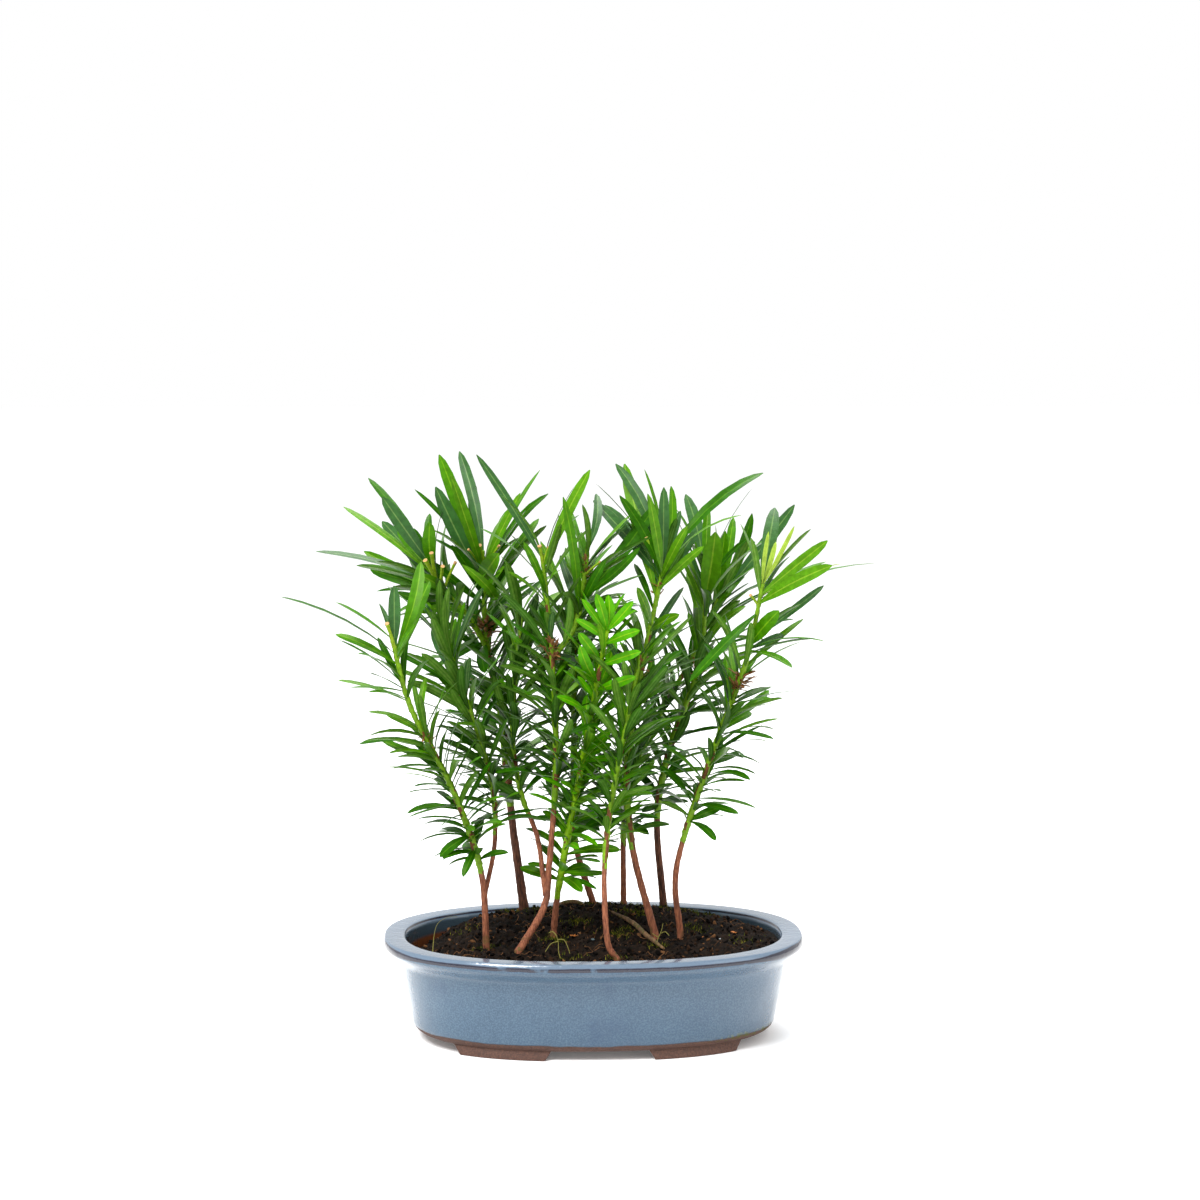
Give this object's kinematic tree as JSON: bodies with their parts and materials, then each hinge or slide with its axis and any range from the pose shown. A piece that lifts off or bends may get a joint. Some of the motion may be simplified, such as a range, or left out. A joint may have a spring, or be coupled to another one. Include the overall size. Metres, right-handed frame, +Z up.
{
  "type": "podocarpus bonsai group in an oval pot",
  "caption": "Group bonsai of upright podocarpus seedlings with long narrow leaves, standing in soil in a low oval pot with blue-grey glaze.",
  "frame": {"origin": "on the surface the pot stands on, under the middle of the whole plant's box", "axes": "+Z up, +X along the pot's length to the right as the picture shows it, +Y away from the camera to the rear"},
  "size_m": [0.3216, 0.1876, 0.3176],
  "materials": {
    "glaze": "glossy speckled glaze over brown clay",
    "soil": "crumbly moist peat",
    "bark": "smooth young bark",
    "dark_bark": "rough dark bark",
    "leaf": "satin leaf",
    "bright_leaf": "satin young leaf"
  },
  "bodies": {
    "root": {"pot": "glaze", "soil": "soil", "trunk_left": "bark", "trunk_dark_left": "dark_bark", "trunk_leaning": "bark", "trunk_middle_rear": "bark", "trunk_bright": "bark", "trunk_front": "bark", "trunk_right_rear": "bark", "trunk_middle": "bark", "trunk_dark_right": "dark_bark", "trunk_right": "bark", "bough_left_rear": "bark", "bough_leaning_rear": "bark", "foliage_left": "leaf", "foliage_left_rear": "leaf", "foliage_dark_left": "leaf", "foliage_leaning": "leaf", "foliage_leaning_rear": "leaf", "foliage_middle_rear": "leaf", "foliage_bright": "bright_leaf", "foliage_front": "leaf", "foliage_right_rear": "leaf", "foliage_middle": "leaf", "foliage_dark_right": "leaf", "foliage_right": "leaf", "root_lying": "dark_bark", "root_arched": "dark_bark"}
  },
  "joints": []
}
